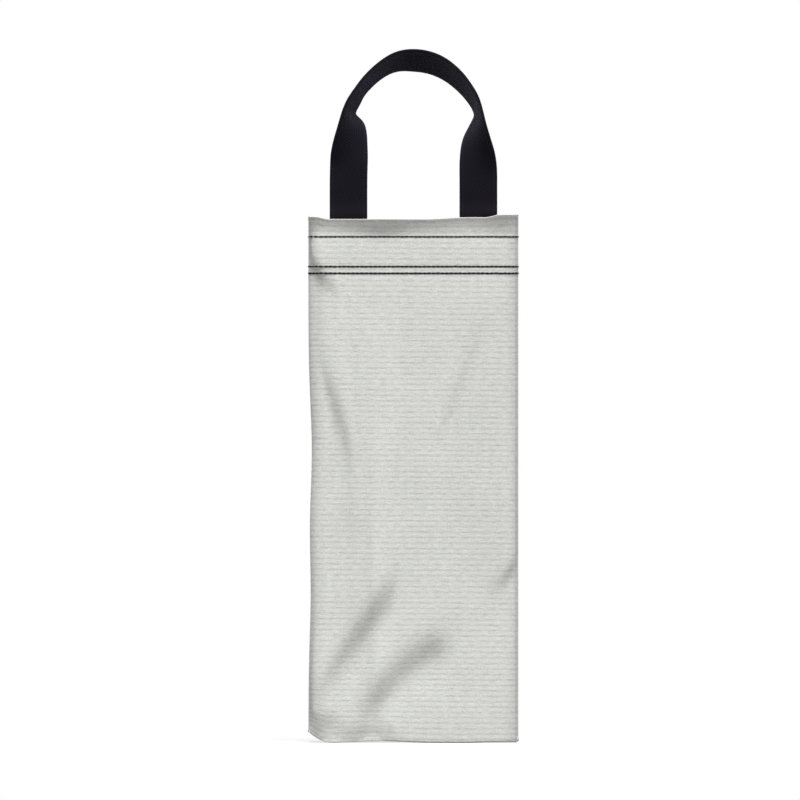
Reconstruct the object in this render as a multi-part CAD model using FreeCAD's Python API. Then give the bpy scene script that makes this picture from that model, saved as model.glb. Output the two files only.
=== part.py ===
"""A sewn cloth carrier for one bottle: a gusseted bag that stands on its base, with a webbing handle
on the front panel and its twin on the back panel.

Millimetres, +Z up. The origin is at the middle of the base, on the surface that the bag stands on.
The front faces -Y.
"""

import FreeCAD, Part
import math
import os

# Bag, measured over the cloth.
bag_width = 140.0
bag_depth = 90.0
bag_height = 350.0
corner_radius = 10.0
base_rim_height = 3.0
base_edge_bevel = 1.2
cloth_thickness = 1.2
seam_allowance = 8.0

# Slack of the cloth: a long hollow down each gusset, two slanted dents low on the front and the back, and a swell
# above them on the front. Each has a sloping end below and above, given as shares of its length.
gusset_hollow_depth = 7.0
gusset_hollow_margin = 2.5
hollow_end_shares = (0.35, 0.35)
dent_depth = 3.0
left_dent_length = 72.0
left_dent_width = 26.0
left_dent_x = -23.5
left_dent_height = 77.0
left_dent_slant_degrees = 33
middle_dent_length = 64.0
middle_dent_width = 28.0
middle_dent_x = 6.0
middle_dent_height = 44.5
middle_dent_slant_degrees = 46
swell_height = 4.8
swell_length = 124.0
swell_width = 44.0
swell_x = -21.0
swell_bottom = 112.0
swell_end_shares = (0.12, 0.88)

# Hem turned in round the mouth, and its rows of stitching, measured down from the fold.
hem_depth = 40.0
hem_fold_bevel = 0.7
top_row_depth = 12.5
upper_twin_row_depth = 32.4
lower_twin_row_depth = 36.9
thread_width = 0.8
thread_height = 0.35

# Overlock thread that binds the raw edges inside the bag.
overlock_width = 4.0
overlock_height = 0.4
seam_clearance = 0.5

# Webbing handles: each leg rises flat, then twists a quarter turn into an arch that leans over the mouth.
webbing_width = 25.0
webbing_thickness = 1.8
leg_inset = 26.8
tail_length = 38.6
straight_leg_length = 35.0
twist_length = 34.0
hinge_gap = 0.3
arch_lean_degrees = 33.6
quarter_turn_degrees = 90
half_turn_degrees = 180
twist_power = 1.3
lean_power = 3
twist_spans = 6

ORIGIN = FreeCAD.Vector(0, 0, 0)
X_AXIS = FreeCAD.Vector(1, 0, 0)
Y_AXIS = FreeCAD.Vector(0, 1, 0)
Z_AXIS = FreeCAD.Vector(0, 0, 1)
diagonal_share = math.sqrt(0.5)
eighth_turn_shares = (math.sin(math.pi / 8), math.cos(math.pi / 8))

half_width = bag_width / 2
half_depth = bag_depth / 2
hem_bottom = bag_height - hem_depth
hem_thickness = 2 * cloth_thickness
base_seam_top = base_rim_height + seam_allowance
side_seam_bottom = base_seam_top + overlock_height + seam_clearance
side_seam_top = hem_bottom - seam_clearance
webbing_y = hem_thickness + webbing_thickness / 2 - half_depth
leg_x = half_width - leg_inset
arch_lean = math.radians(arch_lean_degrees)


def point(x, y, z=0):
    return FreeCAD.Vector(x, y, z)


def mirrored(spot):
    return point(-spot.x, spot.y, spot.z)


def between(outline, low, high):
    """A solid with a closed outline of the XY plane, between two heights."""
    face = Part.Face(outline)
    face.translate(point(0, 0, low))
    return face.extrude(point(0, 0, high - low))


def corner_spot(half_x, half_y, inset, share_x, share_y):
    """A point of the front right corner's arc, set in from the cloth's outer face."""
    radius = corner_radius - inset
    return point(half_x - corner_radius + radius * share_x, corner_radius - half_y - radius * share_y)


def rounded_rectangle(inset):
    """The bag's plan, set in from the cloth's outer face."""
    start = corner_spot(half_width, half_depth, inset, 0, 1)
    middle = corner_spot(half_width, half_depth, inset, diagonal_share, diagonal_share)
    end = corner_spot(half_width, half_depth, inset, 1, 0)
    corner = Part.Arc(start, middle, end).toShape()
    half = [corner, Part.makeLine(mirrored(start), start), corner.mirror(ORIGIN, X_AXIS)]
    other_half = [edge.mirror(ORIGIN, Y_AXIS) for edge in half]
    sides = [Part.makeLine(end, point(end.x, -end.y))]
    sides += [edge.mirror(ORIGIN, X_AXIS) for edge in sides]
    return Part.Wire(Part.__sortEdges__(half + other_half + sides))


def ring(outer, inner, low, high):
    """A band round the bag between two depths in the cloth and two heights."""
    return between(rounded_rectangle(outer), low, high).cut(between(rounded_rectangle(inner), low, high))


def panel_line(half_x, half_y, inset):
    """A wall panel's plan at one depth in the cloth: its flat, and an eighth of a turn at each end."""
    start = corner_spot(half_x, half_y, inset, 0, 1)
    middle = corner_spot(half_x, half_y, inset, *eighth_turn_shares)
    seam = corner_spot(half_x, half_y, inset, diagonal_share, diagonal_share)
    bend = Part.Arc(start, middle, seam).toShape()
    edges = [bend, Part.makeLine(mirrored(start), start), bend.mirror(ORIGIN, X_AXIS)]
    return edges, seam


def panel_layer(half_x, half_y, outer, low, high):
    """One layer of cloth of a wall panel, from a depth inwards, with its ends square to the seams."""
    outside, outer_end = panel_line(half_x, half_y, outer)
    inside, inner_end = panel_line(half_x, half_y, outer + cloth_thickness)
    ends = [Part.makeLine(outer_end, inner_end), Part.makeLine(mirrored(outer_end), mirrored(inner_end))]
    return between(Part.Wire(Part.__sortEdges__(outside + inside + ends)), low, high)


def along_seam(half_x, half_y, spots):
    """A strip inside the front right corner. Spots are depths along its seam and offsets to the front."""
    centre = point(half_x - corner_radius, corner_radius - half_y)
    outwards = point(diagonal_share, -diagonal_share)
    to_front = point(-diagonal_share, -diagonal_share)
    corners = [centre + outwards * (corner_radius - depth) + to_front * offset for depth, offset in spots]
    return between(Part.makePolygon(corners + corners[:1]), side_seam_bottom, side_seam_top)


def is_mouth_fold(edge):
    """Whether a panel's edge runs along the fold of the hem."""
    at_mouth = all(vertex.Z > bag_height - cloth_thickness for vertex in edge.Vertexes)
    return at_mouth and edge.Length > hem_thickness


def wall_panel(half_x, half_y):
    """A panel facing -Y: its cloth, the hem turned in at the mouth, and a seam allowance at each side."""
    sheet = panel_layer(half_x, half_y, 0, base_rim_height, bag_height)
    hem = panel_layer(half_x, half_y, cloth_thickness, hem_bottom, bag_height)
    folded = sheet.fuse(hem).removeSplitter()
    folded = folded.makeChamfer(hem_fold_bevel, [edge for edge in folded.Edges if is_mouth_fold(edge)])
    root = cloth_thickness / 2
    strip = [(root, 0), (root, cloth_thickness), (seam_allowance, cloth_thickness), (seam_allowance, 0)]
    allowance = along_seam(half_x, half_y, strip)
    return folded.fuse([allowance, allowance.mirror(ORIGIN, X_AXIS)]).removeSplitter()


def lens(width, length, depth, end_shares):
    """A shape that bends a flat panel facing -Y inwards: round across, upright, with a sloping end below and above."""
    bend = (width**2 / 4 + depth**2) / (2 * depth)
    round_part = Part.makeCylinder(bend, length, point(0, depth - bend, -length / 2), Z_AXIS)
    below, above = [length * share for share in end_shares]
    side = [point(-width / 2, 0, -length / 2), point(-width / 2, depth, below - length / 2)]
    side += [point(-width / 2, depth, length / 2 - above), point(-width / 2, 0, length / 2)]
    if below + above >= length:
        side.pop(1)
    return round_part.common(Part.Face(Part.makePolygon(side + side[:1])).extrude(point(width, 0)))


def placed(shape, slant_degrees, half_y, x, z):
    """A lens leant over to +X and set against the outer face of a panel."""
    shape.rotate(ORIGIN, Y_AXIS, slant_degrees)
    shape.translate(point(x, -half_y, z))
    return shape


def deeper(shape):
    copy = shape.copy()
    copy.translate(point(0, cloth_thickness))
    return copy


def pressed_in(panel, shape):
    """A panel with its cloth pressed in by a lens, at its full thickness."""
    return panel.fuse(deeper(shape)).cut(shape).removeSplitter()


def pushed_out(panel, shape):
    """A panel with its cloth pushed out into a lens, at its full thickness."""
    return panel.fuse(shape).cut(deeper(shape)).removeSplitter()


def turned(shape, degrees):
    copy = shape.copy()
    copy.rotate(ORIGIN, Z_AXIS, degrees)
    return copy


def base_panel():
    """The base: a shallow dish whose rim meets the walls, with its seam allowance standing inside them."""
    block = between(rounded_rectangle(0), 0, base_rim_height)
    lower_edges = [edge for edge in block.Edges if edge.BoundBox.ZMax < base_rim_height]
    block = block.makeChamfer(base_edge_bevel, lower_edges)
    hollow = between(rounded_rectangle(cloth_thickness), cloth_thickness, base_rim_height)
    upstand = ring(cloth_thickness, hem_thickness, base_rim_height - cloth_thickness, base_seam_top)
    return block.cut(hollow).fuse(upstand).removeSplitter()


def side_seam_thread():
    """Overlock round the raw edges of the front right seam."""
    side = cloth_thickness + overlock_height
    start = seam_allowance - overlock_width
    end = seam_allowance + overlock_height
    outside = [(start, cloth_thickness), (start, side), (end, side), (end, -side), (start, -side)]
    inside = [(start, -cloth_thickness), (seam_allowance, -cloth_thickness), (seam_allowance, cloth_thickness)]
    return along_seam(half_width, half_depth, outside + inside)


def base_seam_thread():
    """Overlock over the raw edge of the base's seam allowance."""
    low = base_seam_top - overlock_width
    cover = ring(cloth_thickness, hem_thickness + overlock_height, low, base_seam_top + overlock_height)
    return cover.cut(ring(cloth_thickness, hem_thickness, low, base_seam_top))


def stitch_row(depth):
    """One row of stitching round the outside of the hem."""
    middle = bag_height - depth
    return ring(-thread_height, 0, middle - thread_width / 2, middle + thread_width / 2)


def handle_tail(side):
    """The sewn end of a front handle's leg, flat against the inside of the hem."""
    corner = point(side * leg_x - webbing_width / 2, webbing_y - webbing_thickness / 2, bag_height - tail_length)
    return Part.makeBox(webbing_width, webbing_thickness, tail_length, corner)


def webbing_section(side, share):
    """The webbing's cross-section on one leg, at a share of the way up its twist."""
    slope = math.tan(arch_lean) * share ** lean_power
    drift = twist_length * share * slope / (lean_power + 1)
    lean = math.atan(slope)
    twist = math.radians(quarter_turn_degrees) * share ** twist_power
    along = point(0, math.sin(lean), math.cos(lean))
    to_front = point(0, -math.cos(lean), math.sin(lean))
    across = point(side, 0) * math.cos(twist) + to_front * math.sin(twist)
    through = along.cross(across) * (webbing_thickness / 2)
    across = across * (webbing_width / 2)
    rise = straight_leg_length + twist_length * share
    centre = point(side * leg_x, webbing_y + drift, bag_height + rise)
    corners = [centre - across - through, centre + across - through]
    corners += [centre + across + through, centre - across + through]
    return Part.makePolygon(corners + corners[:1]), centre, to_front


def handle_loop():
    """The front handle above the mouth: two straight legs, their twists and the leaning arch."""
    pieces = []
    for side in (-1, 1):
        sections = [webbing_section(side, span / twist_spans)[0] for span in range(twist_spans + 1)]
        leg_drop = hinge_gap - straight_leg_length
        pieces.append(Part.Face(sections[0]).extrude(point(0, 0, leg_drop)))
        pieces.append(Part.makeLoft(sections, True, False))
    left_end, shoulder, to_front = webbing_section(-1, 1)
    middle = point(0, shoulder.y, shoulder.z)
    pieces.append(Part.Face(left_end).revolve(middle, to_front * -1, half_turn_degrees))
    return pieces[0].fuse(pieces[1:]).removeSplitter()


def model():
    """Every piece by its node name."""
    wide = wall_panel(half_width, half_depth)
    for width, length, slant_degrees, x, height in (
        (left_dent_width, left_dent_length, left_dent_slant_degrees, left_dent_x, left_dent_height),
        (middle_dent_width, middle_dent_length, middle_dent_slant_degrees, middle_dent_x, middle_dent_height),
    ):
        dent = lens(width, length, dent_depth, hollow_end_shares)
        wide = pressed_in(wide, placed(dent, slant_degrees, half_depth, x, height))
    swell = lens(swell_width, swell_length, swell_height, swell_end_shares).mirror(ORIGIN, Y_AXIS)
    swollen = pushed_out(wide, placed(swell, 0, half_depth, swell_x, swell_bottom + swell_length / 2))
    hollow_width = bag_depth - 2 * (corner_radius + gusset_hollow_margin)
    hollow_low = side_seam_bottom + gusset_hollow_margin
    hollow_high = side_seam_top - gusset_hollow_margin
    gusset_hollow = lens(hollow_width, hollow_high - hollow_low, gusset_hollow_depth, hollow_end_shares)
    gusset_hollow = placed(gusset_hollow, 0, half_width, 0, (hollow_low + hollow_high) / 2)
    narrow = pressed_in(wall_panel(half_depth, half_width), gusset_hollow)
    loop = handle_loop()
    seam = side_seam_thread()
    nodes = {
        "front_panel": swollen,
        "back_panel": turned(wide, half_turn_degrees),
        "left_gusset": turned(narrow, -quarter_turn_degrees),
        "right_gusset": turned(narrow, quarter_turn_degrees),
        "base_panel": base_panel(),
        "base_seam_thread": base_seam_thread(),
        "front_right_seam_thread": seam,
        "front_left_seam_thread": seam.mirror(ORIGIN, X_AXIS),
        "back_right_seam_thread": seam.mirror(ORIGIN, Y_AXIS),
        "back_left_seam_thread": turned(seam, half_turn_degrees),
        "hem_top_stitching": stitch_row(top_row_depth),
        "hem_upper_twin_stitching": stitch_row(upper_twin_row_depth),
        "hem_lower_twin_stitching": stitch_row(lower_twin_row_depth),
        "front_handle": loop,
        "back_handle": loop.mirror(ORIGIN, Y_AXIS),
    }
    for name, side in (("left", -1), ("right", 1)):
        tail = handle_tail(side)
        nodes[f"front_handle_{name}_tail"] = tail
        nodes[f"back_handle_{name}_tail"] = tail.mirror(ORIGIN, Y_AXIS)
    return nodes


os.makedirs("parts", exist_ok=True)
for node, shape in model().items():
    shape.exportStep(f"parts/{node}.step")
    print(node, "solids", len(shape.Solids), "valid", shape.isValid(), "volume", round(shape.Volume, 1))
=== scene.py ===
"""The looks of a sewn carrier for one bottle: cloth walls and base, rows of stitching, overlocked seams
and two webbing handles.

Metres, +Z up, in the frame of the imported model. The front faces -Y.
"""

import math

import bmesh
import bpy
from mathutils import Matrix, Vector, noise


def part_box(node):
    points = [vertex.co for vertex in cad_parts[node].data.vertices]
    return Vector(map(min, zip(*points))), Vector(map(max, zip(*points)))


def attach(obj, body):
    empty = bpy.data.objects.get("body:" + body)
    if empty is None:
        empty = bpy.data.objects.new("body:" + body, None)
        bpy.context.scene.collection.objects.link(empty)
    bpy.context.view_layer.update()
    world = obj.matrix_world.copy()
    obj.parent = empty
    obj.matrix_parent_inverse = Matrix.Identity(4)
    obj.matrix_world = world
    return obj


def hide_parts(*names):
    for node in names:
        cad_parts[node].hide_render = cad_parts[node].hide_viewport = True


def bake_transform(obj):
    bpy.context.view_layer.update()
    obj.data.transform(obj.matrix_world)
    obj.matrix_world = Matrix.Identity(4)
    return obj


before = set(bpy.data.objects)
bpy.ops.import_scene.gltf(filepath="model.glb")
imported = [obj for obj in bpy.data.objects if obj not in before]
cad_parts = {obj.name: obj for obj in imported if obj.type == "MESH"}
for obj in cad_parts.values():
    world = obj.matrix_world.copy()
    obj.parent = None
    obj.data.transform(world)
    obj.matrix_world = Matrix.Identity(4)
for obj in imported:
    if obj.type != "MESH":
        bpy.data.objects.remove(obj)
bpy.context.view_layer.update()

MM = 0.001
UP = Vector((0, 0, 1))
WHITE = (1, 1, 1, 1)

# The photograph: its frame, its scale at the front panel, and the pixels at the middle of the bag's base.
PHOTO_PIXELS = 800
PIXELS_PER_METRE = 1500.0
MIDDLE_PIXEL = 413.4
FLOOR_PIXEL = 743.0

# Camera: its long lens and its sensor in millimetres, and how far it sees in metres.
LENS, SENSOR = 1000.0, 36.0
CAMERA_REACH = 60.0

# Sizes read from the solids.
_, base_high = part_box("base_panel")
_, wall_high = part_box("front_panel")
tail_low, tail_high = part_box("front_handle_left_tail")
half_width, half_depth = base_high.x, base_high.y
mouth, base_seam_top = wall_high.z, base_high.z
webbing_width = tail_high.x - tail_low.x
webbing_thickness = tail_high.y - tail_low.y
tail_bottom = tail_low.z
leg_x = (tail_low.x + tail_high.x) / -2

# Cloth. The front and the back roll into the upright seams at their edges, and the gussets lie between them.
CLOTH_THICKNESS = 1.15 * MM
LAYER = 1.2 * MM
EDGE_RADIUS = 13 * MM
EDGE_TURN = math.pi / 3
SEAM_TURN = 7 * math.pi / 12
SEAM_LIP = 0.8 * MM
SEAM_GAP = 0.06 * MM
SEAM_ALLOWANCE = 8 * MM
HEM_DEPTH = 40 * MM
FOLD_RISE = 0.3 * MM
hem_bottom = mouth - HEM_DEPTH
edge_run = EDGE_RADIUS * math.sin(EDGE_TURN)
edge_drop = EDGE_RADIUS * (1 - math.cos(EDGE_TURN))
seam_y = half_depth - edge_drop

# Half of each panel's flat width, the turn of its edges, its distance from the middle and its turn about Z.
PANELS = {
    "front": (half_width - edge_run, EDGE_TURN, half_depth, 0),
    "right": (seam_y, 0.0, half_width, 90),
    "back": (half_width - edge_run, EDGE_TURN, half_depth, 180),
    "left": (seam_y, 0.0, half_width, -90),
}
GUSSETS = ("left", "right")

# Base: a crowned bottom, a rolled edge and a rim that stands inside the walls, which turn in beside its foot.
BASE_SEAM = 0.3 * MM
BASE_LIP = 0.8 * MM
TURN_IN = 0.2 * MM
BASE_EDGE = 0.5 * MM
BASE_CORNER = 3.5 * MM
BASE_CROWN = 1.0 * MM
BASE_UPSTAND = 1.3 * MM
BASE_RIPPLE = 0.5 * MM
BASE_RIPPLES_PER_METRE = 40
BASE_RIPPLE_SHIFT = 5

# Slack of every wall. Each hollow has a depth, the height of its middle and a spread. Each wave has
# a height, counts for a metre across and up, and a shift.
WALL_HOLLOWS = ((2.4 * MM, 120 * MM, 70 * MM), (0.8 * MM, 235 * MM, 70 * MM))
WALL_WAVES = ((0.7 * MM, 16, 10, 0), (0.22 * MM, 46, 34, 3))
PANEL_SHIFT = 7.3
# The slack and the folds ease out over these lengths before a seam.
SLACK_EASE = 15 * MM
FOLD_EASE = 5 * MM

# Puckers along the rows of stitching, with their swing in radians for a metre.
PUCKER_DEPTH = 0.1 * MM
PUCKER_REACH = 3.2 * MM
PUCKER_SWING = 900
PUCKER_SWAY = 2.5
PUCKER_SWAYS_PER_METRE = 60

# Hollow of the gussets: its depth, its middle and reach, its least share, its loss at the seams, and the
# heights between which it starts.
GUSSET_SAG = 5.0 * MM
GUSSET_SAG_HEIGHT = 160 * MM
GUSSET_SAG_REACH = 150 * MM
GUSSET_LEAST_SAG = 0.25
GUSSET_SEAM_LOSS = 0.6
GUSSET_SAG_STARTS = (4 * MM, 40 * MM)

# Flare of the mouth: how far it goes, over which depth, and how far from the bag's middle it starts and is
# full. On the front it is a share that swells in places, each with an addition, a place and a spread.
FRONT_FLARE = 4.1 * MM
BACK_FLARE = 2.6 * MM
GUSSET_FLARE = 1.3 * MM
FLARE_DEPTH = 11.5 * MM
FLARE_POWER = 1.9
FLARE_STARTS = (20 * MM, 34 * MM)
FRONT_FLARE_SHARE = 0.71
FRONT_FLARE_SWELLS = ((0.55, -20 * MM, 17 * MM), (0.45, 60 * MM, 9 * MM), (0.3, -68 * MM, 8 * MM))

# Sag of the whole bag. Bumps have a size, a place and a spread, and rises have a size, a start and an end.
WAIST_BUMPS = ((2.2 * MM, 195 * MM, 43 * MM), (1.45 * MM, 100 * MM, 40 * MM))
WAIST_START = 10 * MM
MOUTH_RISES = ((1.7 * MM, -56 * MM, -66 * MM), (1.2 * MM, 8 * MM, 36 * MM), (1.8 * MM, 48 * MM, 58 * MM))
MOUTH_DROP = 0.7 * MM
MOUTH_RISE_DEPTH = 13 * MM
MOUTH_RISE_LOSS = 0.35
BASE_BUMPS = ((1.2 * MM, -22 * MM, 22 * MM),)
BASE_RISES = ((0.5 * MM, 34 * MM, 54 * MM),)
BASE_RISE_HEIGHT = 34 * MM
CORNER_START = 56 * MM
CORNER_WIDTH = 14 * MM
LEFT_CORNER_LIFT = 7.0 * MM
LEFT_CORNER_POWER = 1.5
RIGHT_EDGE_TURN = 3.0 * MM
RIGHT_EDGE_POWER = 2
RIGHT_EDGE_DEPTH = 16 * MM

# Seam allowances: drawn in along the cloth behind the hem, dipped at the mouth and lifted off the base.
# Each reach is measured past the start of the seam's lip.
TUCK_EASE = 4 * MM
TUCK_SHARE, TUCK_GAIN = 0.93, 0.06
TUCK_GAIN_INSETS = (0.2 * MM, 1.2 * MM)
LOWER_LIP_EASE = 2 * MM
LOWER_LIP_LOSS = 0.4
MOUTH_DIP = 1.3 * MM
MOUTH_DIP_REACH = 1.2 * MM
MOUTH_DIP_DEPTH = 8 * MM
ALLOWANCE_LIFT = 2.6 * MM
ALLOWANCE_LIFT_REACHES = (0.8 * MM, 1.6 * MM)
ALLOWANCE_LIFT_HEIGHT = 12 * MM

# Rows of hem stitching: the width of each row's thread, and the height of each row.
HEM_THREAD_WIDTHS = {
    "hem_top_stitching": 1.15 * MM,
    "hem_upper_twin_stitching": 1.35 * MM,
    "hem_lower_twin_stitching": 1.45 * MM,
}
STITCH_ROWS = {name: sum(corner.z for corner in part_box(name)) / 2 for name in HEM_THREAD_WIDTHS}
HEM_STITCH = 3.0 * MM
HEM_STITCH_OVERLAP = 1.3
HEM_THREAD_HEIGHT = 0.66 * MM
HEM_THREAD_PROUD = 0.08 * MM
HEM_THREAD_WOBBLE = 0.12 * MM
WOBBLES_PER_METRE = 400
TAIL_STITCH_GAP = 0.3 * MM

# Overlock: strokes over the raw edge, and a chain along it.
OVERLOCK_PITCH = 2.4 * MM
OVERLOCK_REACH = 4 * MM
OVERLOCK_SLANT = 0.3
STROKE_WIDTH, STROKE_HEIGHT = 0.6 * MM, 0.4 * MM
STROKE_PROUD = 0.12 * MM
STROKE_PAST_EDGE = 0.1 * MM
CHAIN_PAST_EDGE = 0.15 * MM
CHAIN_HEIGHT = 0.5 * MM
CHAIN_OVERLAP = 1.1

# Webbing: the steps along it, its gap to the hem, the heights about the mouth between which it comes free of
# the hem, its soft edge, and the lengths below and above the mouth over which it bends.
WEBBING_STEP = 1.6 * MM
TAIL_GAP = 0.1 * MM
TAIL_BELOW_MOUTH, TAIL_ABOVE_MOUTH = 4 * MM, 1 * MM
WEBBING_EDGE = 0.5 * MM

# How finely the pieces are divided, and how long the searches and the easing go on.
WALL_COLUMN_STEP = 1.8 * MM
LIP_COLUMNS, ALLOWANCE_COLUMNS = 6, 4
CROWN_ROWS, BASE_EDGE_ROWS, RIM_ROWS = 14, 6, 5
BASE_COLUMNS = 140
MERGE_DISTANCE = 0.01 * MM
HEM_THREAD_SIDES, SEAM_THREAD_SIDES = 7, 6
STITCHES_IN_BATCH = 24
TAIL_ROWS = 6
WEBBING_COLUMNS = 14
CURVE_STEPS = 40
EASING_PASSES = 4
LIP_SEARCH_PASSES = 40
LIP_SEARCH_LENGTH = 5 * SEAM_LIP

# Studio: the floor's half side, its tone to the light and to the eye, how far from the bag's middle its
# shadow starts to fade and how fast, and how white it is to the eye there, with what it gains farther off.
# Lamps have a place, a size and a power, and aim at the bag's middle.
FLOOR_HALF_SIDE = 14.0
FLOOR_LIT, FLOOR_SEEN = (0.35, 0.35, 0.35), (0.9, 0.9, 0.9)
FADE_START, FADE_RATE = 0.08, 6.0
NEAR_WHITE, FAR_GAIN = 0.74, 0.26
WORLD_LIGHT = 0.21
bag_middle = Vector((0, 0, mouth / 2))
LAMPS = {
    "key_light": (bag_middle + Vector((0.42, -3.6, 8.1)), 2.6, 1185.0),
    "front_light": (Vector((0.4, -2.4, 0.2)), 1.6, 3.5),
    "back_light": (Vector((-0.6, 2.6, 1.0)), 1.8, 14.0),
}


def from_photo(column, row):
    """A pixel of the photograph as X and Z on the front panel."""
    return (column - MIDDLE_PIXEL) / PIXELS_PER_METRE, (FLOOR_PIXEL - row) / PIXELS_PER_METRE


def smooth(start, end, value):
    """0 before start, 1 after end, and an even ease between them."""
    share = min(1.0, max(0.0, (value - start) / (end - start)))
    return share * share * (3 - 2 * share)


def bump(value, middle, spread):
    """1 at the middle, and less the farther the value is from it."""
    return math.exp(-(((value - middle) / spread) ** 2))


def bumps(value, table):
    """The sum of bumps, each with a size, a middle and a spread."""
    return sum(size * bump(value, middle, spread) for size, middle, spread in table)


def rises(value, table):
    """The sum of eased rises, each with a size, a start and an end."""
    return sum(size * smooth(start, end, value) for size, start, end in table)


# Folds of the cloth. A slanting fold is a step down in each column of its panel that it crosses, and an
# upright fold is a step in each row. Each point gives a spot of the fold's middle, its slope there and its
# width. Lengths are in millimetres, apart from the spots of a photo fold, which are pixels. Rise is the share
# of the step that stands out above the fold. Above and below are the lengths that the step takes to settle.
EVEN_RISE = 0.5
UPRIGHT_SETTLE = 24


def slanting(*points, rise=EVEN_RISE, above=70, below=45):
    """A fold that crosses its panel at a slant, from spots in X and Z."""
    spots = [(x * MM, z * MM, slope, width * MM) for x, z, slope, width in points]
    return False, rise, above * MM, below * MM, sorted(spots)


def upright(*points):
    """A fold that runs up its panel, from spots in X and Z."""
    spots = [(z * MM, x * MM, slope, width * MM) for x, z, slope, width in points]
    return True, EVEN_RISE, UPRIGHT_SETTLE * MM, UPRIGHT_SETTLE * MM, sorted(spots)


def photo_fold(*points, **settle):
    """A slanting fold of the front, from pixels of the photograph."""
    spots = [[length / MM for length in from_photo(column, row)] for column, row, _, _ in points]
    return slanting(*[(*spot, slope, width) for spot, (_, _, slope, width) in zip(spots, points)], **settle)


FOLDS = {
    "front": {
        "left_dent": photo_fold(
            (402, 580, 0, 11), (394, 588, 0.14, 11.5), (387, 597, 0.27, 12), (380, 604, 0.32, 12.5),
            (372, 614, 0.38, 13), (364, 627, 0.37, 13), (352, 641, 0.32, 13), (340, 658, 0.25, 12),
            (326, 680, 0.16, 10), (310, 704, 0.07, 9), (296, 720, 0, 9),
            rise=0.6, above=140, below=60,
        ),
        "middle_dent": photo_fold(
            (457, 640, 0, 10.5), (446, 645, 0.15, 10.5), (436, 647, 0.31, 10.5), (424, 652, 0.31, 11),
            (410, 662, 0.27, 11.5), (396, 674, 0.26, 12.5), (384, 688, 0.34, 13.5), (374, 697, 0.36, 13),
            (366, 704, 0.2, 11), (356, 711, 0.05, 10), (346, 716, 0, 10),
            rise=0.6, above=140, below=28,
        ),
        "middle_dent_foot": photo_fold(
            (355, 718, 0, 5), (364, 717, 0.06, 5), (374, 718, 0.1, 5), (384, 720, 0.07, 5), (394, 723, 0, 5),
            rise=1, above=40,
        ),
        "hem_pull": photo_fold(
            (342, 299, 0, 6), (333, 287, 0.18, 6), (324, 279, 0.3, 6.5), (316, 268, 0.29, 7.5),
            (309, 253, 0.2, 8), (301, 232, 0.08, 8),
            rise=0.85, above=45, below=60,
        ),
        "left_drape": photo_fold(
            (354, 465, 0, 15), (341, 426, 0.15, 15), (334, 410, 0.18, 15), (327, 389, 0.13, 15),
            (317, 360, 0, 15),
            above=80, below=90,
        ),
        "right_drape": photo_fold(
            (488, 306, 0, 8), (478, 334, 0.07, 8), (462, 377, 0.1, 8), (445, 420, 0.08, 8), (432, 456, 0, 8),
            above=90, below=90,
        ),
        "right_edge_tuck": photo_fold(
            (528, 556, 0.24, 6), (516, 566, 0.26, 6.5), (507, 576, 0.27, 6.5), (497, 585, 0.13, 6),
            (482, 593, 0, 6),
        ),
        "left_corner_crease": photo_fold(
            (352, 724, 0, 6), (341, 722, 0.07, 6), (331, 721, 0.18, 6), (322, 722, 0.23, 6),
            (300, 720, 0.06, 6),
            rise=0.7, above=40,
        ),
        "base_crease": photo_fold(
            (300, 733, 0.02, 4), (316, 735, 0.2, 4), (334, 736, 0.1, 5), (352, 734, 0.22, 5.5),
            (370, 733, 0.27, 6), (386, 734, 0.2, 5.5), (406, 738, 0, 5),
            rise=1, above=60,
        ),
    },
    "back": {
        "left_dent": slanting(
            (-8, 98, 0, 12), (-20, 90, 0.24, 12), (-32, 74, 0.26, 12), (-46, 56, 0.16, 11), (-60, 38, 0, 10),
            above=80,
        ),
        "middle_dent": slanting(
            (30, 70, 0, 12), (14, 62, 0.24, 12), (0, 50, 0.26, 12), (-18, 36, 0.24, 13), (-32, 24, 0, 12),
            rise=0.7,
        ),
        "right_drape": slanting((40, 290, 0, 12), (28, 250, 0.12, 13), (14, 206, 0, 12)),
        "left_drape": slanting((-36, 190, 0, 12), (-46, 226, 0.12, 13), (-54, 262, 0, 12)),
    },
    "left": {
        "middle_fold": upright((6, 300, 0, 6), (2, 236, 0.2, 6), (-3, 150, 0.24, 6), (1, 80, 0, 6)),
        "low_fold": slanting((32, 86, 0, 8), (16, 60, 0.24, 8), (-2, 42, 0.2, 8), (-26, 24, 0, 8)),
        "drape": slanting((-26, 118, 0, 12), (-12, 162, 0.1, 12), (-4, 214, 0, 12)),
    },
    "right": {
        "middle_fold": upright((2, 304, 0, 6), (-3, 228, -0.2, 6), (3, 146, -0.24, 6), (-2, 74, 0, 6)),
        "low_fold": slanting((-28, 20, 0, 8), (-8, 40, 0.2, 8), (12, 62, 0.24, 8), (30, 90, 0, 8)),
        "drape": slanting((26, 196, 0, 12), (12, 150, 0.1, 12), (2, 110, 0, 12)),
    },
}


def through(points, place):
    """A spot on a smooth curve through points, at a place counted in points."""
    index = min(int(place), len(points) - 2)
    share = place - index
    before, start = points[max(index - 1, 0)], points[index]
    end, after = points[index + 1], points[min(index + 2, len(points) - 1)]
    out, into = (end - before) / 2, (after - start) / 2
    square, cube = share**2, share**3
    return (
        start * (2 * cube - 3 * square + 1)
        + out * (cube - 2 * square + share)
        + end * (3 * square - 2 * cube)
        + into * (cube - square)
    )


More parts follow.
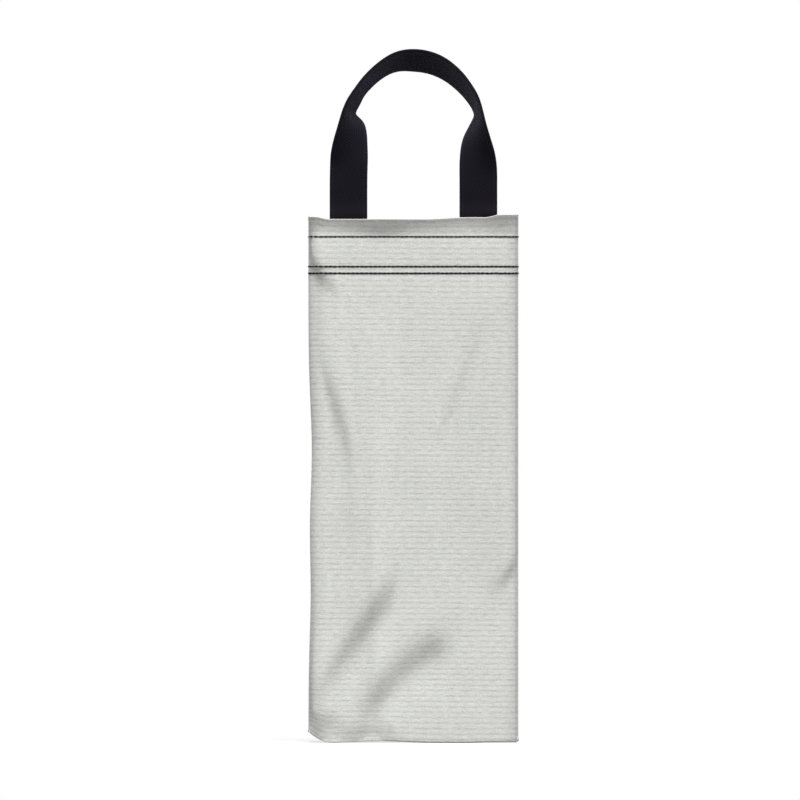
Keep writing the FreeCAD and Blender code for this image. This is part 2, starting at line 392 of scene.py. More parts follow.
def fold_step(fold, x, z):
    """How far one fold moves the cloth of its panel out at a spot."""
    is_upright, rise, above, below, points = fold
    along, across = (z, x) if is_upright else (x, z)
    if not points[0][0] < along < points[-1][0]:
        return 0.0
    index = max(number for number, point in enumerate(points[:-1]) if point[0] <= along)
    share = (along - points[index][0]) / (points[index + 1][0] - points[index][0])
    middle, slope, width = through([Vector(point[1:]) for point in points], index + share)
    off = across - middle
    step = math.sqrt(math.pi) * slope * width * (rise - 0.5 + 0.5 * math.erf(off / width))
    return step * bump(off, 0.0, above if off > 0 else below)


def flared(z):
    """The share of a flare at a height."""
    return max(0.0, 1 - (mouth - z) / FLARE_DEPTH) ** FLARE_POWER


def slack(side, x, z):
    """How far a panel's cloth stands out from its flat shape at a spot."""
    seed = PANEL_SHIFT * list(PANELS).index(side)
    out = -bumps(z, WALL_HOLLOWS)
    for height, waves_across, waves_up, shift in WALL_WAVES:
        out += height * noise.noise(Vector((x * waves_across, seed + shift, z * waves_up)))
    sway = PUCKER_SWAY * noise.noise(Vector((x * PUCKER_SWAYS_PER_METRE, seed, 1)))
    pucker = PUCKER_DEPTH * (math.sin(x * PUCKER_SWING + sway) - 1)
    for row in STITCH_ROWS.values():
        out += pucker * bump(z, row, PUCKER_REACH)
    if side in GUSSETS:
        sag = max(GUSSET_LEAST_SAG, 1 - ((z - GUSSET_SAG_HEIGHT) / GUSSET_SAG_REACH) ** 2)
        sag *= (1 - GUSSET_SEAM_LOSS * (x / seam_y) ** 2) * smooth(*GUSSET_SAG_STARTS, z)
        out += GUSSET_FLARE * flared(z) - GUSSET_SAG * sag
    return out


def settled(spot):
    """The bag's sag: its waist, its soft right edge at the front, the flare of its mouth, and the lifts."""
    x, y, z = spot
    waist = bumps(z, WAIST_BUMPS) * smooth(WAIST_START, -half_width, x)
    mouth_lift = (rises(x, MOUTH_RISES) - MOUTH_DROP) * smooth(mouth - MOUTH_RISE_DEPTH, mouth, z)
    mouth_lift *= 1 - MOUTH_RISE_LOSS * smooth(-half_depth, half_depth, y)
    left_corner = max(0.0, (-x - CORNER_START) / CORNER_WIDTH) ** LEFT_CORNER_POWER
    front_lift = bumps(x, BASE_BUMPS) + rises(x, BASE_RISES)
    base_lift = LEFT_CORNER_LIFT * left_corner + front_lift * smooth(0, -half_depth, y)
    base_lift *= 1 - smooth(0, BASE_RISE_HEIGHT, z)
    turned = RIGHT_EDGE_TURN * max(0.0, (x - CORNER_START) / CORNER_WIDTH) ** RIGHT_EDGE_POWER
    turned *= smooth(RIGHT_EDGE_DEPTH - half_depth, -half_depth, y)
    front_flare = FRONT_FLARE * (FRONT_FLARE_SHARE + bumps(x, FRONT_FLARE_SWELLS))
    flare = BACK_FLARE * smooth(*FLARE_STARTS, y) - front_flare * smooth(*FLARE_STARTS, -y)
    return Vector((x + waist, y + turned + flare * flared(z), z + mouth_lift + base_lift))


def edge_spot(side, across):
    """A panel's plan as far as its seam: the spot and the cloth's turn at a distance from its middle."""
    flat, _, distance, _ = PANELS[side]
    turn = max(0.0, across - flat) / EDGE_RADIUS
    x = min(across, flat) + EDGE_RADIUS * math.sin(turn)
    return x, EDGE_RADIUS * (1 - math.cos(turn)) - distance, turn


def find_lip(side):
    """Where a panel's seam lip starts along its cloth, so as to end flat along the seam, and its length."""
    flat, edge_turn, _, _ = PANELS[side]
    seam_reach = flat + EDGE_RADIUS * edge_turn
    seam_x, seam_depth, _ = edge_spot(side, seam_reach)
    end = edge_turn + SEAM_TURN
    low, high = seam_reach - LIP_SEARCH_LENGTH, seam_reach
    for _ in range(LIP_SEARCH_PASSES):
        across = (low + high) / 2
        x, y, turn = edge_spot(side, across)
        off_x = x - SEAM_LIP * math.sin(turn) - seam_x
        off_y = y + SEAM_LIP * math.cos(turn) - seam_depth
        past = math.sin(end) * off_x - math.cos(end) * off_y + SEAM_LIP + SEAM_GAP
        low, high = (low, across) if past > 0 else (across, high)
    return low, SEAM_LIP * (end - edge_spot(side, low)[2])


LIPS = {panel: find_lip(panel) for panel in PANELS}


def plan(side, across):
    """A panel's plan: the spot and the outward direction at a distance along the cloth from its middle."""
    sign = math.copysign(1, across)
    across = abs(across)
    start, length = LIPS[side]
    x, y, turn = edge_spot(side, min(across, start))
    if across > start:
        x -= SEAM_LIP * math.sin(turn)
        y += SEAM_LIP * math.cos(turn)
        turn += min(length, across - start) / SEAM_LIP
        past = max(0.0, across - start - length)
        x += SEAM_LIP * math.sin(turn) + past * math.cos(turn)
        y += past * math.sin(turn) - SEAM_LIP * math.cos(turn)
    return sign * x, y, sign * math.sin(turn), -math.cos(turn)


def wall_spot(side, across, z, inset=0.0):
    """A spot of a wall, at a distance along its cloth, a height and a depth from its outer face."""
    x, y, out_x, out_y = plan(side, across)
    start = LIPS[side][0]
    out = slack(side, x, z) * (1 - smooth(start - SLACK_EASE, start, abs(across))) - inset
    folds = sum(fold_step(fold, x, z) for fold in FOLDS[side].values())
    out += folds * (1 - smooth(start - FOLD_EASE, start, abs(across)))
    spot = Vector((x + out_x * out, y + out_y * out, z))
    return settled(Matrix.Rotation(math.radians(PANELS[side][3]), 3, "Z") @ spot)


# Height along a wall's cloth: the turned-in lower edge, the wall, the fold of the mouth and the hem inside.
lower_lip = TURN_IN + BASE_LIP * math.pi / 2
wall_top = lower_lip + mouth - FOLD_RISE - BASE_SEAM - BASE_LIP
fold_end = wall_top + LAYER * math.pi
cloth_length = fold_end + HEM_DEPTH - FOLD_RISE


def cloth_height(along):
    """The inset and the height of a wall's cloth at a distance along it from its lower edge."""
    if along < TURN_IN:
        return BASE_LIP + TURN_IN - along, BASE_SEAM
    if along < lower_lip:
        turn = (along - TURN_IN) / BASE_LIP
        return BASE_LIP * (1 - math.sin(turn)), BASE_SEAM + BASE_LIP * (1 - math.cos(turn))
    if along < wall_top:
        return 0.0, BASE_SEAM + BASE_LIP + along - lower_lip
    if along < fold_end:
        turn = (along - wall_top) / LAYER
        return LAYER * (1 - math.cos(turn)), mouth - FOLD_RISE * (1 - math.sin(turn))
    return 2 * LAYER, mouth - FOLD_RISE - (along - fold_end)


def steps(*stops):
    """Values from stop to stop. Each run has its own number of equal steps, written before its end."""
    values = [stops[0]]
    for count, end in zip(stops[1::2], stops[2::2]):
        start = values[-1]
        values += [start + (end - start) * (number + 1) / count for number in range(count)]
    return values


def mapped_grid(columns, rows, place, uv_name, uv):
    """A grid of faces whose points are placed, and laid out on a UV map, by their column and row values."""
    mesh = bmesh.new()
    across, along = len(columns) - 1, len(rows) - 1
    half = 0.5
    bmesh.ops.create_grid(mesh, x_segments=across, y_segments=along, size=half)
    layer = mesh.loops.layers.uv.new(uv_name)
    value = {}
    for vertex in mesh.verts:
        column = columns[round((vertex.co.x + half) * across)]
        row = rows[round((vertex.co.y + half) * along)]
        value[vertex] = column, row
        vertex.co = place(column, row)
    for face in mesh.faces:
        face.smooth = True
        for loop in face.loops:
            loop[layer].uv = uv(*value[loop.vert])
    return mesh


def placed(name, mesh):
    """An object with a mesh's faces, at the origin."""
    data = bpy.data.meshes.new(name)
    mesh.to_mesh(data)
    mesh.free()
    thing = bpy.data.objects.new(name, data)
    bpy.context.scene.collection.objects.link(thing)
    return thing


def finished(name, mesh, material):
    """A piece with a mesh's faces and its material."""
    piece = placed(name, mesh)
    piece.data.materials.append(material)
    return piece


def thicken(piece, thickness, offset):
    """Give a sheet its thickness: to the inside with an offset of -1, and to both sides with 0."""
    solidify = piece.modifiers.new("thickness", "SOLIDIFY")
    solidify.thickness = thickness
    solidify.offset = offset
    solidify.use_even_offset = False


class Wire:
    """A socket of a material's nodes. An expression on wires adds Math nodes."""

    # The Mix node's sockets for two colours and the colour between them.
    LOW_COLOUR, HIGH_COLOUR, MIXED_COLOUR = 6, 7, 2

    def __init__(self, tree, socket=None):
        self.tree, self.socket = tree, socket

    def add(self, kind, settings=None, sockets=None, output=0):
        """A new node: its settings first, then the values or links of its sockets, and one of its outputs."""
        node = self.tree.nodes.new(kind)
        for key, value in (settings or {}).items():
            setattr(node, key, value)
        for key, value in (sockets or {}).items():
            if isinstance(value, Wire):
                self.tree.links.new(value.socket, node.inputs[key])
            else:
                node.inputs[key].default_value = value
        return Wire(self.tree, node.outputs[output] if node.outputs else None)

    def math(self, operation, *values):
        """A Math node on wires and numbers."""
        return self.add("ShaderNodeMath", {"operation": operation}, dict(enumerate(values)))

    def __add__(self, other):
        return self.math("ADD", self, other)

    def __sub__(self, other):
        return self.math("SUBTRACT", self, other)

    def __rsub__(self, other):
        return self.math("SUBTRACT", other, self)

    def __mul__(self, other):
        return self.math("MULTIPLY", self, other)

    def __truediv__(self, other):
        return self.math("DIVIDE", self, other)

    __radd__, __rmul__ = __add__, __mul__

    def __pow__(self, power):
        return self.math("POWER", self, power)

    def __abs__(self):
        return self.math("ABSOLUTE", self)

    def sine(self):
        return self.math("SINE", self)

    def floor(self):
        return self.math("FLOOR", self)

    def at_least(self, other):
        return self.math("MAXIMUM", self, other)

    def at_most(self, other):
        return self.math("MINIMUM", self, other)

    def noise(self, x, y, detail=2.0, roughness=0.5):
        """Noise of about 0 to 1 over two stretched directions."""
        spot = self.add("ShaderNodeCombineXYZ", None, {"X": x, "Y": y})
        settings = {"noise_dimensions": "2D"}
        sockets = {"Vector": spot, "Scale": 1.0, "Detail": detail, "Roughness": roughness}
        return self.add("ShaderNodeTexNoise", settings, sockets)

    def blend(self, share, low, high):
        """A colour between two others."""
        settings = {"data_type": "RGBA", "clamp_factor": True}
        sockets = {"Factor": share, self.LOW_COLOUR: (*low, 1), self.HIGH_COLOUR: (*high, 1)}
        return self.add("ShaderNodeMix", settings, sockets, self.MIXED_COLOUR)


def new_material(name):
    """A material with no nodes yet, and a wire that adds them."""
    material = bpy.data.materials.new(name)
    material.use_nodes = True
    material.node_tree.nodes.clear()
    return material, Wire(material.node_tree)


def finish_surface(wires, colour, roughness, height, distance, specular, **fuzz):
    """The shader of a matt surface with a bumpy height."""
    normal = wires.add("ShaderNodeBump", None, {"Height": height, "Strength": 1.0, "Distance": distance})
    sockets = {"Base Color": colour, "Roughness": roughness, "Normal": normal, "Specular IOR Level": specular}
    surface = wires.add("ShaderNodeBsdfPrincipled", None, {**sockets, **fuzz})
    wires.add("ShaderNodeOutputMaterial", None, {"Surface": surface})


def uv_directions(wires, uv_name):
    """The two directions of a UV map, in millimetres."""
    uv = wires.add("ShaderNodeUVMap", {"uv_map": uv_name})
    return [wires.add("ShaderNodeSeparateXYZ", None, {0: uv}, axis) * (1 / MM) for axis in ("X", "Y")]


# Cloth's finish, with lengths in millimetres: its two tones, the ribs across it, the depth of its relief,
# and a line of painted shade along the right-hand seam of the front and of the back, darkening the colour
# where the seam's groove would lie in shadow.
CLOTH_DARK, CLOTH_LIGHT = (0.475, 0.480, 0.457), (0.785, 0.792, 0.759)
RIB_PITCH, RIB_TILT, RIB_SWAY = 3.64, 0.0084, 0.5
CLOTH_RELIEF = 0.095
PAINTED_SHADE_BEFORE_LIP, PAINTED_SHADE_WIDTH = 1.3, 1.7


def cloth_material():
    """Pale grey cloth with fine ribs across it and uneven yarn."""
    material, wires = new_material("ribbed_cloth")
    across, along = uv_directions(wires, "cloth")
    sway = wires.noise(across * 0.02, along * 0.02, detail=1.0)
    place = (along + across * RIB_TILT + sway * RIB_SWAY) / RIB_PITCH
    rib = (place * (2 * math.pi)).sine()
    groove = (0.5 - rib * 0.5) ** 2.0
    row = (place - 0.25).floor()
    dash = wires.noise(across * 0.16, row * 5.7, detail=1.0)
    slub = wires.noise(across * 0.22, along, detail=3.0, roughness=0.6) - 0.5
    yarn = wires.noise(across, along, roughness=0.7) - 0.5
    cloud = wires.noise(across * 0.03, along * 0.03) - 0.5
    # Painted shade: the cloth's colour is made darker in a narrow line along the right-hand seam of the front
    # and of the back, standing in for the seam's shadowed groove.
    painted_shade_middle = LIPS["front"][0] / MM - PAINTED_SHADE_BEFORE_LIP
    painted_seam_shade = (1 - abs(across - painted_shade_middle) / PAINTED_SHADE_WIDTH).at_least(0.0)
    # The grooves between the ribs are darker in colour: partly the yarn's own tone, partly painted shade of
    # the grooves, with only a small bump under it.
    dark = groove * (dash * 0.42 + 0.02)
    share = 0.56 - dark + slub * 0.9 + yarn * 0.95 + cloud * 0.1 - painted_seam_shade * 0.45
    colour = wires.blend(share, CLOTH_DARK, CLOTH_LIGHT)
    height = slub * 0.8 + yarn * 0.7 - dark * 1.6
    finish_surface(wires, colour, 0.9 - slub * 0.1, height, CLOTH_RELIEF * MM, 0.25)
    return material


# Webbing's finish, with lengths in millimetres: its two tones and its sheen, its ribs and picks, the raised
# line inside each edge, and the depth of its relief.
WEBBING_DARK, WEBBING_LIGHT = (0.0024, 0.0020, 0.0036), (0.0092, 0.0082, 0.0122)
WEBBING_SHEEN = {"Sheen Weight": 0.13, "Sheen Roughness": 0.5, "Sheen Tint": (0.75, 0.72, 1.0, 1)}
WEBBING_RIB, WEBBING_PICK = 1.56, 1.7
EDGE_LINE, EDGE_LINE_SHARPNESS = 2.3, 1.4
WEBBING_RELIEF = 0.22


def webbing_material():
    """Black woven webbing: ribs along it, picks across them, and a raised line inside each edge."""
    material, wires = new_material("black_webbing")
    across, along = uv_directions(wires, "webbing")
    half = webbing_width / MM / 2
    column = (across / WEBBING_RIB).floor()
    rib = abs((across * (math.pi / WEBBING_RIB)).sine())
    pick = ((along / WEBBING_PICK + column * 0.5) * (2 * math.pi)).sine()
    fibre = wires.noise(across * 6.0, along * 1.2, roughness=0.6) - 0.5
    from_edge = half - abs(across - half)
    line = (1 - abs(from_edge - EDGE_LINE) * EDGE_LINE_SHARPNESS).at_least(0.0)
    share = 0.35 + pick * rib * 0.2 + fibre * 0.35 + line * 0.35
    colour = wires.blend(share, WEBBING_DARK, WEBBING_LIGHT)
    height = rib * 0.5 + pick * rib * 0.5 + fibre * 0.3 + line * 0.7
    finish_surface(wires, colour, 0.82 - fibre * 0.15, height, WEBBING_RELIEF * MM, 0.05, **WEBBING_SHEEN)
    return material


# Threads' finish: the dark and light tones of each, the fibres in a metre and the depth of the relief.
HEM_THREAD_TONES = ((0.003, 0.003, 0.0035), (0.010, 0.010, 0.011))
SEAM_THREAD_TONES = ((0.42, 0.425, 0.40), (0.68, 0.69, 0.66))
FIBRES_PER_METRE = 2600.0
THREAD_RELIEF = 0.08 * MM


def thread_material(name, dark, light):
    """Twisted sewing thread."""
    material, wires = new_material(name)
    spot = wires.add("ShaderNodeTexCoord", output="Object")
    fibre = wires.add("ShaderNodeTexNoise", None, {"Vector": spot, "Scale": FIBRES_PER_METRE, "Detail": 2.0})
    finish_surface(wires, wires.blend(fibre, dark, light), 0.75, fibre, THREAD_RELIEF, 0.3)
    return material


def wall_columns(side):
    """Distances along a panel's cloth, from one raw edge to the other."""
    start, length = LIPS[side]
    half = steps(
        0.0,
        round(start / WALL_COLUMN_STEP), start,
        LIP_COLUMNS, start + length,
        ALLOWANCE_COLUMNS, start + length + SEAM_ALLOWANCE,
    )
    return [-across for across in reversed(half[1:])] + half


def wall_rows():
    """Distances up a wall's cloth, closer where it turns."""
    return steps(
        0.0,
        1, TURN_IN,
        4, lower_lip,
        160, wall_top - FLARE_DEPTH,
        12, wall_top - FOLD_RISE,
        1, wall_top,
        8, fold_end,
        20, cloth_length,
    )


def make_wall(side, node, material):
    """One wall: its cloth, turned in at the seams and folded in at the mouth."""
    start = LIPS[side][0]

    def place(across, along):
        inset, z = cloth_height(along)
        tucked = smooth(hem_bottom - TUCK_EASE, hem_bottom, z) if along < wall_top else 1.0
        tucked *= TUCK_SHARE + TUCK_GAIN * smooth(*TUCK_GAIN_INSETS, inset)
        past = max(0.0, abs(across) - start)
        if along < lower_lip:
            inset *= 1 - LOWER_LIP_LOSS * smooth(start - LOWER_LIP_EASE, start, abs(across))
        z -= MOUTH_DIP * smooth(0, MOUTH_DIP_REACH, past) * smooth(mouth - MOUTH_DIP_DEPTH, mouth, z)
        near_base = 1 - smooth(0, ALLOWANCE_LIFT_HEIGHT, z)
        z += ALLOWANCE_LIFT * smooth(*ALLOWANCE_LIFT_REACHES, past) * near_base
        return wall_spot(side, math.copysign(abs(across) - past * tucked, across), z, inset)

    columns = wall_columns(side)
    mesh = mapped_grid(columns, wall_rows(), place, "cloth", lambda across, along: (across, along))
    piece = finished(f"{side}_cloth", mesh, material)
    thicken(piece, CLOTH_THICKNESS, -1)
    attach(piece, "bag")
    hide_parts(node)
    2 * columns[-1]


# The base's plan from the left end of its front edge: straight lengths, and the radii and turns of curves.
base_flat = half_width - edge_run - BASE_CORNER * (1 - math.sin(EDGE_TURN))
BASE_RUNS = (
    (2 * base_flat, None), (EDGE_RADIUS, EDGE_TURN), (BASE_CORNER, math.pi / 2 - EDGE_TURN),
    (2 * (seam_y - BASE_CORNER * math.cos(EDGE_TURN)), None), (BASE_CORNER, math.pi / 2 - EDGE_TURN),
    (EDGE_RADIUS, EDGE_TURN),
) * 2


def base_outline(inset, share):
    """A spot of the base's plan, set in from the cloth's outer face, at a share of the way round it."""
    left = share * sum(size * (turn or 1) for size, turn in BASE_RUNS)
    x, y, heading = -base_flat, -half_depth, 0.0
    for size, turn in BASE_RUNS:
        gone = min(left, size * (turn or 1))
        left -= gone
        if turn:
            past = heading + gone / size
            x += size * (math.sin(past) - math.sin(heading))
            y -= size * (math.cos(past) - math.cos(heading))
            heading = past
        else:
            x += gone * math.cos(heading)
            y += gone * math.sin(heading)
        if left <= 0:
            break
    return x - inset * math.sin(heading), y + inset * math.cos(heading)


def base_profile():
    """The base from its middle to its raw edge: the share of the way out, the inset and the height."""
    edge = BASE_UPSTAND + BASE_EDGE
    rows = [(share, edge, BASE_CROWN * (1 - share**2)) for share in steps(0.0, CROWN_ROWS, 1.0)]
    for turn in steps(0.0, BASE_EDGE_ROWS, math.pi / 2)[1:]:
        rows.append((1.0, edge - BASE_EDGE * math.sin(turn), BASE_EDGE * (1 - math.cos(turn))))
    return rows + [(1.0, BASE_UPSTAND, z) for z in steps(2 * BASE_EDGE, RIM_ROWS, base_seam_top)]


def make_base(material):
    """The base: a shallow dish of cloth with its seam allowance standing up inside the walls."""
    profile = base_profile()

    def place(share, step):
        reach, inset, z = profile[step]
        x, y = [length * reach for length in base_outline(inset, share)]
        ripples = Vector((x * BASE_RIPPLES_PER_METRE, y * BASE_RIPPLES_PER_METRE, BASE_RIPPLE_SHIFT))
        z += BASE_RIPPLE * noise.noise(ripples) * (1 - reach)
        return settled(Vector((x, y, z)))

    def laid_flat(share, step):
        reach, inset, z = profile[step]
        return [length * reach for length in base_outline(-z if step > CROWN_ROWS else inset, share)]

    around = steps(0.0, BASE_COLUMNS, 1.0)
    mesh = mapped_grid(around, range(len(profile)), place, "cloth", laid_flat)
    bmesh.ops.remove_doubles(mesh, verts=mesh.verts, dist=MERGE_DISTANCE)
    piece = finished("base_cloth", mesh, material)
    thicken(piece, CLOTH_THICKNESS, -1)
    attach(piece, "bag")
    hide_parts("base_panel")


def stitch(middle, along, up, length, width, height):
    """Where one stitch lies: a slim pip of thread along a direction on a surface."""
    along = along.normalized()
    normal = along.cross(up).normalized()
    up = normal.cross(along)
    axes = Matrix((along * (length / 2), up * (width / 2), normal * (height / 2))).transposed().to_4x4()
    return Matrix.Translation(middle) @ axes @ Matrix.Rotation(math.pi / 2, 4, "Y")


def sew(node, stitches, sides, material):
    """All the stitches of a node's thread as one piece, sewn in short batches."""
    mesh = bmesh.new()
    for start in range(0, len(stitches), STITCHES_IN_BATCH):
        few = bmesh.new()
        for place in stitches[start:start + STITCHES_IN_BATCH]:
            bmesh.ops.create_uvsphere(few, u_segments=sides, v_segments=sides, radius=1.0, matrix=place)
        for face in few.faces:
            face.smooth = True
        data = bpy.data.meshes.new("batch")
        few.to_mesh(data)
        few.free()
        mesh.from_mesh(data)
        bpy.data.meshes.remove(data)
    piece = finished(f"{node}_stitches", mesh, material)
    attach(piece, "bag")
    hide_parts(node)


def on_tail(side, across):
    """Whether a spot of the hem has a handle's sewn end inside it."""
    return side not in GUSSETS and abs(abs(across) - leg_x) < webbing_width / 2


def make_stitch_row(node, width, material):
    """One row of stitching round the hem, outside and inside, over the handles' sewn ends."""
    z = STITCH_ROWS[node]
    nudge = 0.2 * MM
    length = HEM_STITCH * HEM_STITCH_OVERLAP
    stitches = []
    for side in PANELS:
        reach = LIPS[side][0] + SEAM_LIP / 2
        count = round(2 * reach / HEM_STITCH)
        for number in range(count):
            across = -reach + 2 * reach * (number + 0.5) / count
            tail = webbing_thickness + TAIL_STITCH_GAP if on_tail(side, across) else 0.0
            for inset in (-HEM_THREAD_PROUD, 2 * LAYER + tail + HEM_THREAD_PROUD):
                middle = wall_spot(side, across, z, inset)
                along = wall_spot(side, across + nudge, z, inset) - wall_spot(side, across - nudge, z, inset)
                up = wall_spot(side, across, z + nudge, inset) - wall_spot(side, across, z - nudge, inset)
                wobble = HEM_THREAD_WOBBLE * noise.noise(middle * WOBBLES_PER_METRE)
                middle += up.normalized() * wobble
                stitches.append(stitch(middle, along, up, length, width, HEM_THREAD_HEIGHT))
    sew(node, stitches, HEM_THREAD_SIDES, material)


def make_side_overlock(node, turn_x, turn_y, material):
    """Overlock on the raw edges of one upright seam: slanted strokes on both faces, a chain on the edge."""
    stitches = []
    low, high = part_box(node)
    corner = Vector((turn_x * half_width, turn_y * seam_y, 0))
    seam = EDGE_TURN + SEAM_TURN
    inwards = Vector((turn_x * math.cos(seam), -turn_y * math.sin(seam), 0))
    sideways = Vector((-inwards.y, inwards.x, 0))

    def spot(depth, offset, z):
        return settled(corner + inwards * depth + sideways * offset + UP * z)

    count = round((high.z - low.z) / OVERLOCK_PITCH)
    face = SEAM_GAP + CLOTH_THICKNESS + STROKE_PROUD
    slant = OVERLOCK_PITCH * OVERLOCK_SLANT
    for number in range(count):
        z = low.z + (high.z - low.z) * (number + 0.5) / count
        for offset in (face, -face):
            start = spot(SEAM_ALLOWANCE - OVERLOCK_REACH, offset, z - slant)
            end = spot(SEAM_ALLOWANCE + STROKE_PAST_EDGE, offset, z + slant)
            stroke = end - start
            stitches.append(stitch((start + end) / 2, stroke, UP, stroke.length, STROKE_WIDTH, STROKE_HEIGHT))
        edge = spot(SEAM_ALLOWANCE + CHAIN_PAST_EDGE, 0, z)
        stitches.append(stitch(edge, UP, sideways, OVERLOCK_PITCH * CHAIN_OVERLAP, 2 * face, CHAIN_HEIGHT))
    sew(node, stitches, SEAM_THREAD_SIDES, material)


def make_base_overlock(material):
    """Overlock over the raw edge of the base's seam allowance, inside the walls."""
    stitches = []
    inside = BASE_UPSTAND + CLOTH_THICKNESS
    face = inside + STROKE_PROUD
    count = round((4 * half_width + 4 * half_depth) / OVERLOCK_PITCH)
    slant = OVERLOCK_SLANT / count
    chain_length, chain_width = OVERLOCK_PITCH * CHAIN_OVERLAP, CLOTH_THICKNESS * CHAIN_OVERLAP

    def spot(share, inset, z):
        return settled(Vector((*base_outline(inset, share % 1), z)))

    for number in range(count):
        share = number / count
        start = spot(share - slant, face, base_seam_top - OVERLOCK_REACH)
        end = spot(share + slant, face, base_seam_top)
        along = spot(share + slant, inside, base_seam_top) - spot(share - slant, inside, base_seam_top)
        stroke = end - start
        stitches.append(stitch((start + end) / 2, stroke, along, stroke.length, STROKE_WIDTH, STROKE_HEIGHT))
        edge = spot(share, (BASE_UPSTAND + inside) / 2, base_seam_top + CHAIN_PAST_EDGE)
        stitches.append(stitch(edge, along, along.cross(UP), chain_length, chain_width, CHAIN_HEIGHT))
    sew("base_seam_thread", stitches, SEAM_THREAD_SIDES, material)


# Stations along the webbing above the mouth, from the left leg over the arch to the right leg: the pixels of
# its outer and inner edge, and the depth of its middle in the bag in millimetres. Where the edges are closer
# than the webbing is wide, it is turned, with its outer edge to the front.
HANDLE_STATIONS = (
    ((329.5, 205), (367.3, 205), -43.4),
    ((329.5, 186), (367.3, 186), -42.5),
    ((330, 164), (367.5, 164), -41.5),
    ((332.2, 146), (367.2, 146), -41.6),
    ((336.6, 131), (366.1, 131), -41.4),
    ((340.4, 119), (362.8, 121.6), -40.8),
    ((344.4, 107), (354.6, 115.2), -39.8),
    ((349, 97.7), (355, 110), -38.0),
    ((355.8, 87.8), (359, 103), -34.6),
    ((365.5, 75.2), (364.8, 92.2), -29.0),
    ((380.4, 61.3), (380.2, 77.7), -21.2),
    ((396, 52), (396.4, 69.9), -15.0),
    ((413, 49.1), (413.4, 69.9), -12.1),
    ((431, 51.7), (430, 72.4), -14.4),
    ((447, 59.3), (446.4, 79.9), -20.0),
    ((461.4, 72), (461.3, 92.1), -27.4),
    ((471.9, 86.2), (471.2, 104), -33.4),
    ((478.4, 98.2), (475.4, 112.6), -37.6),
    ((482.1, 111), (474.6, 117.6), -40.0),
    ((485.7, 125), (469.6, 126.8), -41.0),
    ((490.2, 139), (463.2, 139.4), -41.5),
    ((495.2, 155), (460.4, 155), -41.6),
    ((497.2, 172), (459.8, 172), -41.6),
    ((497.3, 188), (459.8, 188), -42.2),
    ((497.3, 205), (459.8, 205), -42.8),
)


def tail_spot(side, x, z):
    """The middle of the webbing's thickness against the inside of a hem, as if on the front."""
    across = x if side == "front" else -x
    spot = wall_spot(side, across, z, 2 * LAYER + webbing_thickness / 2 + TAIL_GAP)
    return Vector((spot.x, -abs(spot.y), spot.z))


def webbing_edges(side):
    """The webbing's two edges at each station, from the end of one tail to the end of the other."""
    edges = []
    for outer, inner, depth in HANDLE_STATIONS:
        outer_x, outer_z = from_photo(*outer)
        inner_x, inner_z = from_photo(*inner)
        seen = math.hypot(outer_x - inner_x, outer_z - inner_z)
        turned = math.sqrt(max(0.0, webbing_width**2 - seen**2)) / 2
        outer_edge = Vector((outer_x, depth * MM - turned, outer_z))
        inner_edge = Vector((inner_x, depth * MM + turned, inner_z))
        edges.append((outer_edge, inner_edge))
    heights = steps(tail_bottom, TAIL_ROWS, mouth - TAIL_BELOW_MOUTH, 1, mouth + TAIL_ABOVE_MOUTH)
    tails = []
    for outer, inner in (edges[0], edges[-1]):
        tails.append([(tail_spot(side, outer.x, z), tail_spot(side, inner.x, z)) for z in heights])
    return tails[0] + edges + tails[1][::-1]


def webbing_run(side):
    """Even steps along the webbing: its middle, its direction across and the length so far."""
    edges = webbing_edges(side)
    outer, inner = [pair[0] for pair in edges], [pair[1] for pair in edges]
    places = [number / CURVE_STEPS for number in range(CURVE_STEPS * (len(edges) - 1) + 1)]
    curve = [(through(outer, place), through(inner, place)) for place in places]
    run, length, goal = [], 0.0, 0.0
    last = (curve[0][0] + curve[0][1]) / 2
    for start, end in curve:
        middle = (start + end) / 2
        length += (middle - last).length
        last = middle
        if length >= goal:
            run.append((middle, (end - start).normalized(), length))
            goal = length + WEBBING_STEP
    for _ in range(EASING_PASSES):
        eased = []
        for before, here, after in zip(run, run[1:], run[2:]):
            middle = (before[0] + 2 * here[0] + after[0]) / 4
            across = (before[1] + here[1] * 2 + after[1]).normalized()
            eased.append((middle, across, here[2]))
        run[1:-1] = eased
    return run


def make_handle(side, material):
    """One handle: a single length of webbing from tail to tail."""
    run = webbing_run(side)
    flip = -1 if side == "back" else 1

    def place(across, step):
        middle, turn, _ = run[step]
        spot = middle + turn * across
        return Vector((spot.x, flip * spot.y, spot.z))

    def laid_flat(across, step):
        return across + webbing_width / 2, run[step][2]

    columns = steps(-webbing_width / 2, WEBBING_COLUMNS, webbing_width / 2)
    mesh = mapped_grid(columns, range(len(run)), place, "webbing", laid_flat)
    piece = finished(f"{side}_webbing", mesh, material)
    thicken(piece, webbing_thickness, 0)
    rounded = piece.modifiers.new("soft_edges", "BEVEL")
    rounded.width, rounded.segments, rounded.limit_method = WEBBING_EDGE, 2, "ANGLE"
    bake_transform(piece)
    nodes = [f"{side}_handle", f"{side}_handle_left_tail", f"{side}_handle_right_tail"]
    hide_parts(*nodes)


def floor_material():
    """A floor that keeps the shadow near the object and is white to the eye farther off."""
    material, wires = new_material("white_floor")
    seen = wires.add("ShaderNodeLightPath", output="Is Camera Ray")
    spot = wires.add("ShaderNodeTexCoord", output="Object")
    reach = wires.add("ShaderNodeVectorMath", {"operation": "LENGTH"}, {0: spot}, "Value")
    far = ((reach - FADE_START) * FADE_RATE).at_least(0.0).at_most(1.0)
    pale = wires.blend(seen, FLOOR_LIT, FLOOR_SEEN)
    matt = wires.add("ShaderNodeBsdfDiffuse", None, {"Color": pale})
    white = wires.add("ShaderNodeEmission", None, {"Color": WHITE, "Strength": 1.0})
    share = seen * (NEAR_WHITE + far * FAR_GAIN)
    mixed = wires.add("ShaderNodeMixShader", None, {0: share, 1: matt, 2: white})
    wires.add("ShaderNodeOutputMaterial", None, {"Surface": mixed})
    return material


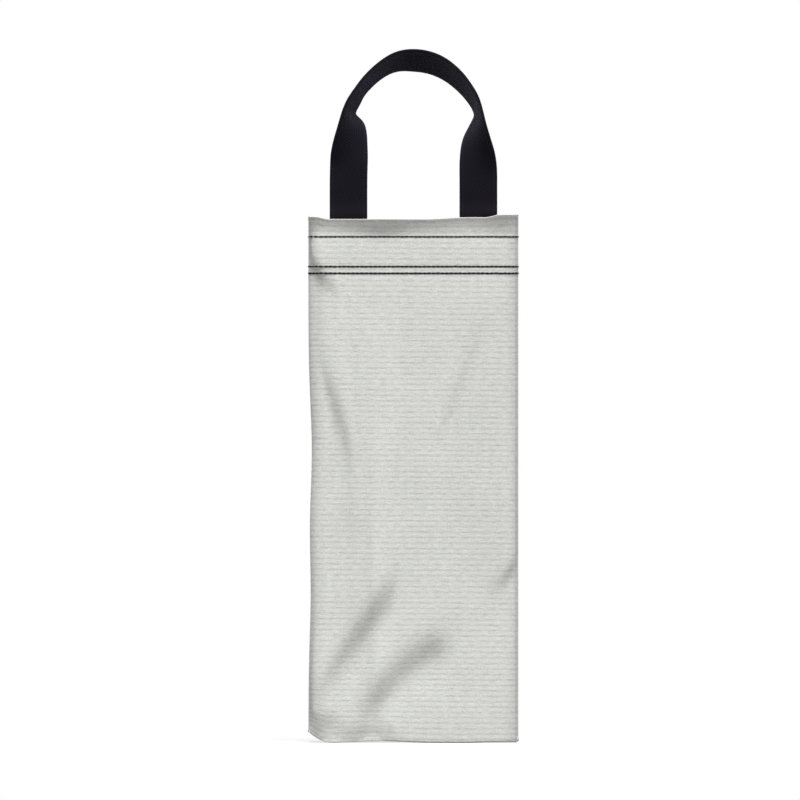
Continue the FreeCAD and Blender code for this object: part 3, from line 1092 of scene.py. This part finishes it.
def make_floor():
    """The white floor that the bag stands on."""
    mesh = bmesh.new()
    bmesh.ops.create_grid(mesh, x_segments=1, y_segments=1, size=FLOOR_HALF_SIDE)
    floor = placed("studio_floor", mesh)
    floor.data.materials.append(floor_material())


def make_world():
    """A world that is white to the eye and soft to the object."""
    world = bpy.data.worlds.new("studio")
    bpy.context.scene.world = world
    world.use_nodes = True
    world.node_tree.nodes.clear()
    wires = Wire(world.node_tree)
    rays = ("Is Camera Ray", "Is Glossy Ray", "Is Transmission Ray")
    seen, mirrored, passed = [wires.add("ShaderNodeLightPath", output=name) for name in rays]
    share = seen.at_least(mirrored).at_least(passed)
    soft = wires.add("ShaderNodeBackground", None, {"Color": WHITE, "Strength": WORLD_LIGHT})
    white = wires.add("ShaderNodeBackground", None, {"Color": WHITE, "Strength": 1.0})
    mixed = wires.add("ShaderNodeMixShader", None, {0: share, 1: soft, 2: white})
    wires.add("ShaderNodeOutputWorld", None, {"Surface": mixed})


def make_lamp(name, place, size, power):
    """A square soft lamp that faces the bag's middle."""
    lamp = bpy.data.lights.new(name, "AREA")
    lamp.shape, lamp.size, lamp.energy = "SQUARE", size, power
    light = bpy.data.objects.new(name, lamp)
    light.location = place
    light.rotation_mode = "QUATERNION"
    light.rotation_quaternion = (bag_middle - place).to_track_quat("-Z", "Y")
    bpy.context.scene.collection.objects.link(light)


def make_camera():
    """A long lens straight in front, with the photograph's frame at the front panel."""
    data = bpy.data.cameras.new("photo_camera")
    data.lens, data.sensor_width = LENS, SENSOR
    data.clip_end = CAMERA_REACH
    camera = bpy.data.objects.new("photo_camera", data)
    x, z = from_photo(PHOTO_PIXELS / 2, PHOTO_PIXELS / 2)
    distance = PHOTO_PIXELS / PIXELS_PER_METRE * LENS / SENSOR
    camera.location = (x, -half_depth - distance, z)
    camera.rotation_euler = (math.pi / 2, 0, 0)
    bpy.context.scene.collection.objects.link(camera)
    bpy.context.scene.camera = camera


bpy.context.scene.view_settings.view_transform = "Standard"
make_camera()
make_floor()
make_world()
for lamp_name, (lamp_place, lamp_size, lamp_power) in LAMPS.items():
    make_lamp(lamp_name, lamp_place, lamp_size, lamp_power)

cloth = cloth_material()
make_base(cloth)
for panel, panel_node in (
    ("front", "front_panel"), ("back", "back_panel"), ("left", "left_gusset"), ("right", "right_gusset"),
):
    make_wall(panel, panel_node, cloth)

hem_thread = thread_material("hem_thread", *HEM_THREAD_TONES)
for row_node, thread_width in HEM_THREAD_WIDTHS.items():
    make_stitch_row(row_node, thread_width, hem_thread)

seam_thread = thread_material("seam_thread", *SEAM_THREAD_TONES)
for seam_name, turn_x, turn_y in (
    ("front_left", -1, -1), ("front_right", 1, -1), ("back_left", -1, 1), ("back_right", 1, 1),
):
    make_side_overlock(f"{seam_name}_seam_thread", turn_x, turn_y, seam_thread)
make_base_overlock(seam_thread)

webbing = webbing_material()
make_handle("front", webbing)
make_handle("back", webbing)
